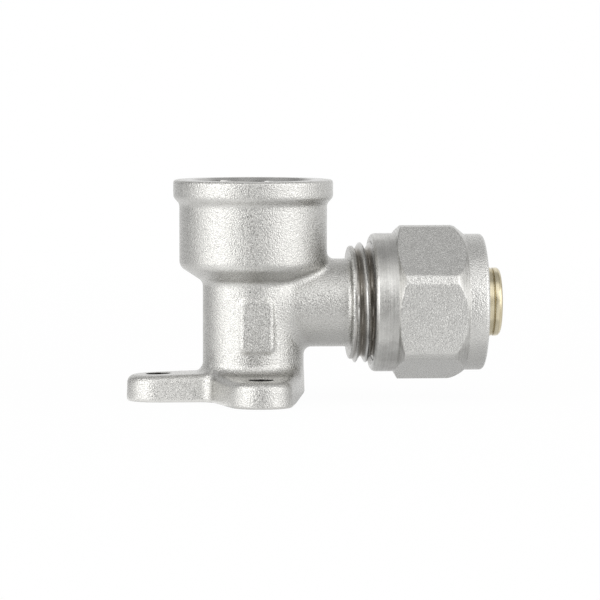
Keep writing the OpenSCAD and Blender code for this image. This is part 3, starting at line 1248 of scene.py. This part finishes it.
@dataclass
class CompressionNut:
    """The nut: two turned collars, a hexagon between them, and its thread and chamber.

    Attributes:
        places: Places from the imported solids.
        thread: The male thread that the nut runs on.
        turned: Finish of the collar beside the elbow, the chamfers and the inside.
        blasted: Finish of the flats and of the collar on the pipe's side.
    """

    places: Places
    thread: PipeThread
    turned: TurnedMetal
    blasted: BlastedNickel
    back_collar_r: float = 12.02 * MM
    back_collar_length: float = 4.0 * MM
    back_edge: float = 0.9 * MM
    edge: float = 0.35 * MM
    hex_width: float = 24.3 * MM
    hex_corner_r: float = 13.6 * MM
    hex_length: float = 12.4 * MM
    hex_back_chamfer: float = 1.0 * MM
    hex_front_chamfer: float = 2.2 * MM
    hex_front_round: float = 2.0 * MM
    hex_turn: float = 19.6
    hex_edge: float = 0.1 * MM
    front_collar_r: float = 11.84 * MM
    front_edge: float = 0.7 * MM
    thread_depth: float = 8.0 * MM
    thread_gap: float = 0.14 * MM
    chamber_r: float = 9.33 * MM
    pipe_hole_r: float = 8.2 * MM
    nose_drop: float = 0.75 * MM
    nose_length: float = 2.2 * MM
    drill_slope: float = 31.0
    milled_spacing: float = 0.15 * MM
    flat_tilt: float = 0.12
    facets: int = 360
    sharp_angle: float = 30.0

    @property
    def hex_start(self) -> float:
        """Start of the hexagon along the branch."""
        return self.places.nut_back + self.back_collar_length

    @property
    def hex_end(self) -> float:
        """End of the hexagon along the branch."""
        return self.hex_start + self.hex_length

    @property
    def shelf(self) -> float:
        """End of the nut's thread along the branch."""
        return self.places.nut_back + self.thread_depth

    @property
    def bore_r(self) -> float:
        """Radius of the bore that the thread is cut in."""
        return self.thread.crest_r + self.thread_gap

    def outline(self) -> list[Point]:
        """Outline of the nut's wall, as (radius, place along the branch).

        Returns:
            The closed outline, with close stations where it is milled or threaded.
        """
        back = self.places.nut_back
        front = self.places.nut_front
        rise_end = self.hex_start + self.hex_back_chamfer
        fall_start = self.hex_end - self.hex_front_chamfer
        slope = math.tan(math.radians(self.drill_slope))
        ring_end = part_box("split_ring")[1].x
        fine = self.milled_spacing
        corner = self.hex_corner_r
        outside = rounded(
            [
                (self.bore_r + self.edge, back, 0.0),
                (self.back_collar_r, back, self.back_edge),
                (self.back_collar_r, self.hex_start, 0.0),
            ],
            10,
        )
        outside += self.sloped((self.back_collar_r, self.hex_start), (corner, rise_end), fine)
        fall = rounded(
            [
                (corner, rise_end, 0.0),
                (corner, fall_start, self.hex_front_round),
                (self.front_collar_r, self.hex_end, 0.0),
            ],
            10,
        )
        outside += self.sloped(fall[0], fall[1], self.hex_length / 8) + fall[2:-1]
        outside += self.sloped(fall[-2], fall[-1], fine)
        outside += rounded(
            [
                (self.front_collar_r, self.hex_end, 0.0),
                (self.front_collar_r, front, self.front_edge),
                (self.pipe_hole_r + self.edge, front, self.edge / 2),
                (self.pipe_hole_r, front - self.edge, self.edge / 2),
            ],
            5,
        )[1:]
        inside = [
            (self.pipe_hole_r, ring_end),
            (self.chamber_r - self.nose_drop, ring_end),
            (self.chamber_r, ring_end - self.nose_length),
            (self.chamber_r, self.shelf + (self.bore_r - self.chamber_r) * slope),
            (self.bore_r, self.shelf),
        ]
        inside += [(self.bore_r, level) for level in stations(self.shelf, back, self.thread.spacing)]
        return outside + inside

    @staticmethod
    def sloped(start: Point, end: Point, spacing: float) -> list[Point]:
        """Points on a straight part of an outline, without its first end.

        Args:
            start: First end.
            end: Last end.
            spacing: Greatest distance between points along the branch.

        Returns:
            The points.
        """
        count = max(1, math.ceil(abs(end[1] - start[1]) / spacing))
        a, b = Vector(start), Vector(end)
        return [a.lerp(b, i / count)[:] for i in range(1, count + 1)]

    def mill(self, bm: Shape) -> None:
        """Mills the six flats and cuts the thread inside.

        Args:
            bm: The turned nut, before it is laid along the branch.
        """
        hex_middle = (self.hex_start + self.hex_end) / 2
        sixth = FULL_TURN / 6
        corner = math.pi / 2 - math.radians(self.hex_turn)
        for vert in bm.verts:
            along = vert.co.z
            reach = math.hypot(vert.co.x, vert.co.y)
            angle = math.atan2(-vert.co.y, -vert.co.x)
            if reach > self.front_collar_r - TOUCH and self.hex_start <= along <= self.hex_end:
                off = (angle - corner) % sixth - sixth / 2
                flat = self.hex_width / 2 / math.cos(off)
                floor = self.back_collar_r if along < hex_middle else self.front_collar_r
                grown = max(soft_min(reach, flat, self.hex_edge), min(floor, reach))
            elif abs(reach - self.bore_r) < TOUCH and along < self.shelf:
                cut = self.thread.radius(along, angle) + self.thread_gap
                run_out = self.bore_r - (self.shelf - along)
                lead_in = self.bore_r + self.edge - (along - self.places.nut_back)
                grown = max(cut, run_out, lead_in)
            else:
                continue
            set_reach(vert, grown)

    def build(self) -> Piece:
        """Builds the nut and dresses it.

        Returns:
            The finished piece.
        """
        bm = spun(self.outline(), self.facets)
        self.mill(bm)
        piece = make_object("compression_nut_dressed", lay_along_branch(bm, self.places.axis))
        shade(piece, self.sharp_angle)
        self.dress(piece)
        return piece

    def dress(self, piece: Piece) -> None:
        """Gives the nut its two finishes and its place in the frame.

        Args:
            piece: The finished shape.
        """
        piece.data.materials.append(self.turned.material())
        piece.data.materials.append(self.blasted.material())
        for face in piece.data.polygons:
            x, y, z = face.center
            up = z - self.places.axis
            outward = face.normal.y * y + face.normal.z * up > 0
            outside = outward or x > self.places.nut_front - self.edge / 2
            on_flat = x > self.hex_start and abs(face.normal.x) < self.flat_tilt
            past_hole = math.hypot(y, up) > self.pipe_hole_r + self.edge
            blasted = on_flat or x > self.hex_end - self.hex_edge
            face.material_index = int(outside and blasted and past_hole)
        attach(piece, "nut")
        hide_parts("compression_nut")


@dataclass
class PipeInsert:
    """The brass insert: spigot, cone and flange in the elbow, and the grooved tail.

    Attributes:
        places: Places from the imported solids.
        finish: Finish of the insert.
    """

    places: Places
    finish: TurnedMetal
    bore_r: float = 4.0 * MM
    spigot_r: float = 6.0 * MM
    spigot_length: float = 5.0 * MM
    seat_angle: float = 30.0
    flange_r: float = 8.2 * MM
    flange_rim: float = 0.95 * MM
    tail_r: float = 5.95 * MM
    tip_round: float = 0.7 * MM
    tip_groove: float = 0.34 * MM
    tip_land: float = 1.25 * MM
    edge: float = 0.12 * MM
    groove_gap: float = 0.05 * MM
    facets: int = 160
    sharp_angle: float = 40.0

    def groove(self, seal: str, outer_r: float) -> list[Corner]:
        """Corners of the groove that holds a seal.

        Args:
            seal: Name of the seal's solid.
            outer_r: Radius of the insert beside the groove.

        Returns:
            Corners as (radius, place along the branch, rounding).
        """
        low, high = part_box(seal)
        floor_r = (high.z - low.z) / 2 - (high.x - low.x) - self.groove_gap
        start, end = low.x - self.groove_gap, high.x + self.groove_gap
        return [
            (outer_r, start, self.edge / 2),
            (floor_r, start, self.edge),
            (floor_r, end, self.edge),
            (outer_r, end, self.edge / 2),
        ]

    def outline(self) -> list[Point]:
        """Outline of the insert's wall.

        Returns:
            The closed outline, as (radius, place along the branch).
        """
        back, tip = self.places.insert_back, self.places.insert_tip
        cone_start = back + self.spigot_length
        widen = math.tan(math.radians(self.seat_angle))
        flange_start = cone_start + (self.flange_r - self.spigot_r) / widen
        flange_end = flange_start + self.flange_rim
        nick = tip - self.tip_land - self.tip_groove
        return rounded(
            [
                (self.bore_r, back, self.edge),
                (self.spigot_r, back, self.edge),
                *self.groove("seat_seal", self.spigot_r),
                (self.spigot_r, cone_start, self.edge),
                (self.flange_r, flange_start, self.edge),
                (self.flange_r, flange_end, self.edge),
                (self.tail_r, flange_end, self.edge),
                *self.groove("tail_seal_inner", self.tail_r),
                *self.groove("tail_seal_outer", self.tail_r),
                (self.tail_r, nick, self.edge / 2),
                (self.tail_r - self.tip_groove, nick + self.tip_groove / 2, self.edge / 2),
                (self.tail_r, nick + self.tip_groove, self.edge / 2),
                (self.tail_r, tip, self.tip_round),
                (self.bore_r, tip, 3 * self.edge),
            ],
            6,
        )

    def build(self) -> Piece:
        """Builds the insert and dresses it.

        Returns:
            The finished piece.
        """
        bm = lay_along_branch(spun(self.outline(), self.facets), self.places.axis)
        piece = make_object("pipe_insert_dressed", bm)
        shade(piece, self.sharp_angle)
        piece.data.materials.append(self.finish.material())
        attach(piece, "elbow")
        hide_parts("pipe_insert")
        return piece


@dataclass
class LooseParts:
    """The split ring, the seals and the washer, which keep their solids.

    Attributes:
        ring: Finish of the split ring.
        rubber: Finish of the seals.
        plastic: Finish of the washer.
    """

    ring: TurnedMetal
    rubber: SealRubber
    plastic: WasherPlastic

    def dress(self) -> list[Piece]:
        """Gives each solid its finish.

        Returns:
            The dressed solids.
        """
        rubber = self.rubber.material()
        finishes = {
            "split_ring": self.ring.material(),
            "seat_seal": rubber,
            "tail_seal_inner": rubber,
            "tail_seal_outer": rubber,
            "insulating_washer": self.plastic.material(),
        }
        dressed = []
        for name, material in finishes.items():
            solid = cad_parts[name]
            for material_slot in solid.material_slots:
                material_slot.material = material
            dressed.append(solid)
        return dressed


@dataclass(frozen=True)
class Softbox:
    """A soft lamp that faces the object.

    Attributes:
        name: Name of the lamp.
        azimuth: Where it stands, in degrees to the right of the front.
        elevation: How high it stands, in degrees.
        width: Its width.
        height: Its height.
        power: Its power.
        distance: Its distance from the object.
    """

    name: str
    azimuth: float
    elevation: float
    width: float
    height: float
    power: float
    distance: float = 0.9


@dataclass(frozen=True)
class Card:
    """A grey card that the metal mirrors and the camera doesn't see.

    Attributes:
        name: Name of the card.
        azimuth: Where it stands, in degrees to the right of the front.
        elevation: How high it stands, in degrees.
        width: Its width.
        height: Its height.
        tone: Its brightness, where one is white.
        distance: Its distance from the object.
    """

    name: str
    azimuth: float
    elevation: float
    width: float
    height: float
    tone: float
    distance: float = 1.3


@dataclass(frozen=True)
class FloorCard:
    """A card on the floor that the metal mirrors and the camera doesn't see: painted shade where its tone
    is below white and painted light where it is above.

    Attributes:
        name: Name of the card.
        x: Place of its middle.
        y: Place of its middle.
        width: Its width.
        depth: Its depth.
        tone: Its brightness, where one is white.
    """

    name: str
    x: float
    y: float
    width: float
    depth: float
    tone: float


def standing_at(aim: Vector, azimuth: float, elevation: float, distance: float) -> Matrix:
    """Place of something that stands round the object and faces it.

    Args:
        aim: The point that it faces.
        azimuth: Degrees to the right of the front.
        elevation: Degrees above the horizon.
        distance: Distance from the point.

    Returns:
        The place, with -Z towards the point.
    """
    a, e = math.radians(azimuth), math.radians(elevation)
    back = Vector((math.sin(a) * math.cos(e), -math.cos(a) * math.cos(e), math.sin(e)))
    return Matrix.Translation(aim + back * distance) @ back.to_track_quat("Z", "Y").to_matrix().to_4x4()


def grey(tone: float) -> tuple[float, float, float, float]:
    """Gives an opaque grey."""
    return (tone, tone, tone, 1.0)


@dataclass
class Studio:
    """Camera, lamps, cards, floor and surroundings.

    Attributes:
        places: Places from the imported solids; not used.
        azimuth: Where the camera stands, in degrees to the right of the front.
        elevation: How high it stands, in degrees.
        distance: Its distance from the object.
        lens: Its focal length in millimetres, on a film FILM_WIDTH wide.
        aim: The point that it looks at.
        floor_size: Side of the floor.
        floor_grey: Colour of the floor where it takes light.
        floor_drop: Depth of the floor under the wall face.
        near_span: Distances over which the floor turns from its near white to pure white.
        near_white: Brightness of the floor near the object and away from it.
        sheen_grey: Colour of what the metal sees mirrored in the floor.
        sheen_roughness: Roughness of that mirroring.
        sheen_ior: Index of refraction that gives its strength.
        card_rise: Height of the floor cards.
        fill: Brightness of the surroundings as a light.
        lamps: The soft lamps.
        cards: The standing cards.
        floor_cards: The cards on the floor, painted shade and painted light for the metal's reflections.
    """

    places: Places
    azimuth: float = -5.1
    elevation: float = 3.5
    distance: float = 0.80
    lens: float = 276.4
    aim: tuple[float, float, float] = (8.15 * MM, 0.0, 17.25 * MM)
    floor_size: float = 6.0
    floor_grey: float = 0.86
    floor_drop: float = 0.02 * MM
    near_span: Point = (0.1, 0.5)
    near_white: Point = (0.965, 1.0)
    sheen_grey: float = 0.95
    sheen_roughness: float = 0.05
    sheen_ior: float = 1.5
    card_rise: float = 0.1 * MM
    fill: float = 0.8
    lamps: tuple[Softbox, ...] = (
        Softbox("left_box", -58.0, 10.0, 0.9, 0.9, 4.8),
        Softbox("right_box", 54.0, 10.0, 0.85, 0.9, 3.5),
        Softbox("front_box", 4.0, 40.0, 0.7, 0.75, 0.7),
    )
    cards: tuple[Card, ...] = (
        Card("ceiling_card", -5.0, 100.0, 2.2, 1.3, 0.54),
        Card("front_card", -13.0, 8.0, 0.66, 0.8, 0.05, 1.0),
        Card("left_card", -128.0, 20.0, 0.9, 1.4, 0.38),
        Card("right_card", 108.0, 20.0, 0.7, 1.4, 0.78),
    )
    floor_cards: tuple[FloorCard, ...] = (
        FloorCard("branch_shade", 26.0 * MM, 0.0, 46.0 * MM, 26.0 * MM, 0.68),
        # Painted light: floor brighter than white beside the left ear, seen only in reflections.
        FloorCard("left_floor", -26.0 * MM, -32.0 * MM, 40.0 * MM, 76.0 * MM, 1.3),
        # Painted reflection: a darker patch of floor in front of the object, seen only by the metal.
        FloorCard("front_floor", 20.0 * MM, -75.0 * MM, 50.0 * MM, 90.0 * MM, 0.72),
    )

    def camera(self) -> None:
        """Sets the camera where the photograph was taken from."""
        data = bpy.data.cameras.new("camera")
        data.sensor_width = FILM_WIDTH
        data.lens = self.lens
        data.clip_start = 0.01
        camera = bpy.data.objects.new("camera", data)
        camera.matrix_world = standing_at(Vector(self.aim), self.azimuth, self.elevation, self.distance)
        bpy.context.scene.collection.objects.link(camera)
        bpy.context.scene.camera = camera

    def hang_lamps(self) -> None:
        """Hangs the soft lamps."""
        for lamp in self.lamps:
            data = bpy.data.lights.new(lamp.name, "AREA")
            data.shape = "RECTANGLE"
            data.size, data.size_y = lamp.width, lamp.height
            data.energy = lamp.power
            light = bpy.data.objects.new(lamp.name, data)
            light.matrix_world = standing_at(Vector(self.aim), lamp.azimuth, lamp.elevation, lamp.distance)
            bpy.context.scene.collection.objects.link(light)

    def flat(self, name: str, width: float, depth: float, material: Material) -> Piece:
        """Makes a flat sheet that isn't part of the object.

        Args:
            name: Name of the sheet.
            width: Its width.
            depth: Its depth.
            material: Its material.

        Returns:
            The sheet, at the origin.
        """
        bm = bmesh.new()
        bmesh.ops.create_grid(bm, x_segments=1, y_segments=1, size=0.5)
        bmesh.ops.scale(bm, verts=bm.verts, vec=(width, depth, 1.0))
        sheet = make_object(name, bm)
        sheet.data.materials.append(material)
        return sheet

    def card(self, name: str, width: float, depth: float, tone: float) -> Piece:
        """Makes a grey card that only the metal mirrors.

        Args:
            name: Name of the card.
            width: Its width.
            depth: Its depth.
            tone: Its brightness, where one is white.

        Returns:
            The card, at the origin.
        """
        sheet = NodeSheet(name)
        glow = sheet.add("ShaderNodeEmission")
        glow.inputs["Color"].default_value = grey(tone)
        sheet.feed(glow.outputs[0], sheet.output.inputs["Surface"])
        board = self.flat(name, width, depth, sheet.material)
        board.visible_camera = False
        board.visible_diffuse = False
        board.visible_shadow = False
        return board

    def stand_cards(self) -> None:
        """Stands the grey cards round the object and lays the others on the floor."""
        for card in self.cards:
            board = self.card(card.name, card.width, card.height, card.tone)
            board.matrix_world = standing_at(Vector(self.aim), card.azimuth, card.elevation, card.distance)
        for card in self.floor_cards:
            board = self.card(card.name, card.width, card.depth, card.tone)
            board.location = (card.x, card.y, self.card_rise)

    @staticmethod
    def seen_white(sheet_tree: bpy.types.NodeTree) -> Socket:
        """Tells where the surroundings are seen, straight or in gloss.

        Args:
            sheet_tree: The node tree that asks.

        Returns:
            The socket with one where they are seen and zero where they only light.
        """
        path = sheet_tree.nodes.new("ShaderNodeLightPath")
        seen = path.outputs["Is Camera Ray"]
        for name in ("Is Glossy Ray", "Is Transmission Ray"):
            both = sheet_tree.nodes.new("ShaderNodeMath")
            both.operation = "MAXIMUM"
            sheet_tree.links.new(seen, both.inputs[0])
            sheet_tree.links.new(path.outputs[name], both.inputs[1])
            seen = both.outputs[0]
        return seen

    def lay_floor(self) -> None:
        """Lays a pale floor that looks white and keeps the object's shadow."""
        sheet = NodeSheet("floor")
        paper = sheet.add("ShaderNodeBsdfDiffuse")
        paper.inputs["Color"].default_value = grey(self.floor_grey)
        glow = sheet.add("ShaderNodeEmission")
        mix = sheet.add("ShaderNodeMixShader")
        reach = sheet.add("ShaderNodeVectorMath", operation="LENGTH")
        sheet.feed(sheet.object_place(), reach.inputs[0])
        whiteness = sheet.ramp(reach.outputs["Value"], self.near_span, self.near_white)
        share = sheet.math("MULTIPLY", self.seen_white(sheet.tree), whiteness)
        sheet.feed(share, mix.inputs[0])
        sheet.feed(paper.outputs[0], mix.inputs[1])
        sheet.feed(glow.outputs[0], mix.inputs[2])
        mirror = sheet.add("ShaderNodeBsdfGlossy")
        mirror.inputs["Color"].default_value = grey(self.sheen_grey)
        mirror.inputs["Roughness"].default_value = self.sheen_roughness
        sheen = sheet.add("ShaderNodeFresnel")
        sheen.inputs["IOR"].default_value = self.sheen_ior
        mirrored = sheet.add("ShaderNodeLightPath").outputs["Is Glossy Ray"]
        polish = sheet.add("ShaderNodeMixShader")
        sheet.feed(sheet.math("MULTIPLY", mirrored, sheen.outputs[0]), polish.inputs[0])
        sheet.feed(mix.outputs[0], polish.inputs[1])
        sheet.feed(mirror.outputs[0], polish.inputs[2])
        sheet.feed(polish.outputs[0], sheet.output.inputs["Surface"])
        floor = self.flat("floor", self.floor_size, self.floor_size, sheet.material)
        floor.location.z = -self.floor_drop

    def surround(self) -> None:
        """Surrounds the scene with white that is seen and a softer fill that lights."""
        world = bpy.data.worlds.new("surroundings")
        world.use_nodes = True
        tree = world.node_tree
        background = tree.nodes["Background"]
        background.inputs["Color"].default_value = grey(1.0)
        spread = tree.nodes.new("ShaderNodeMapRange")
        spread.inputs["To Min"].default_value = self.fill
        tree.links.new(self.seen_white(tree), spread.inputs["Value"])
        tree.links.new(spread.outputs[0], background.inputs["Strength"])
        bpy.context.scene.world = world

    def build(self) -> None:
        """Sets up the whole studio."""
        bpy.context.scene.view_settings.view_transform = "Standard"
        self.camera()
        self.hang_lamps()
        self.stand_cards()
        self.lay_floor()
        self.surround()


def main() -> None:
    """Builds the dressed model and its studio."""
    logging.basicConfig(level=logging.INFO, format="%(message)s")
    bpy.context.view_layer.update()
    places = Places.from_frame()
    thread = PipeThread()
    Studio(places).build()
    end_finish = TurnedMetal(
        "turned_end_nickel",
        Axis.BRANCH,
        places.axis,
        # The thread's roots get painted shade.
        roots=(thread.root_r, thread.root_r + 0.8 * (thread.crest_r - thread.root_r)),
    )
    # Dark nickel inside the fixing holes: painted shade.
    painted_hole_shade = TurnedMetal(
        "hole_shade_nickel",
        Axis.SOCKET,
        places.axis,
        dark=(0.16, 0.155, 0.145),
        bright=(0.26, 0.255, 0.24),
        gloss=(0.12, 0.22),
    )
    bore_finish = TurnedMetal("turned_bore_nickel", Axis.SOCKET, places.axis)
    elbow = ForgedElbow(places, thread, BlastedNickel(), bore_finish, end_finish, painted_hole_shade).build()
    log.info("%s: %d faces", elbow.name, len(elbow.data.polygons))
    nut = CompressionNut(
        places,
        thread,
        TurnedMetal(
            "turned_nut_nickel",
            Axis.BRANCH,
            places.axis,
            dark=(0.37, 0.365, 0.35),
            bright=(0.63, 0.625, 0.605),
            spacing=0.2 * MM,
            depth=0.08 * MM,
        ),
        BlastedNickel(
            "blasted_nut_nickel",
            dark=(0.56, 0.555, 0.538),
            bright=(0.63, 0.625, 0.605),
            depth=0.12 * MM,
        ),
    ).build()
    log.info("%s: %d faces", nut.name, len(nut.data.polygons))
    brass = TurnedMetal(
        "satin_brass",
        Axis.BRANCH,
        places.axis,
        dark=(0.42, 0.36, 0.23),
        bright=(0.78, 0.71, 0.53),
    )
    insert = PipeInsert(places, brass).build()
    log.info("%s: %d faces", insert.name, len(insert.data.polygons))
    ring_finish = TurnedMetal(
        "ring_brass",
        Axis.BRANCH,
        places.axis,
        dark=(0.50, 0.38, 0.18),
        bright=(0.68, 0.54, 0.28),
    )
    for solid in LooseParts(ring_finish, SealRubber(), WasherPlastic()).dress():
        log.info("%s: finish set", solid.name)


if __name__ == "__main__":
    main()
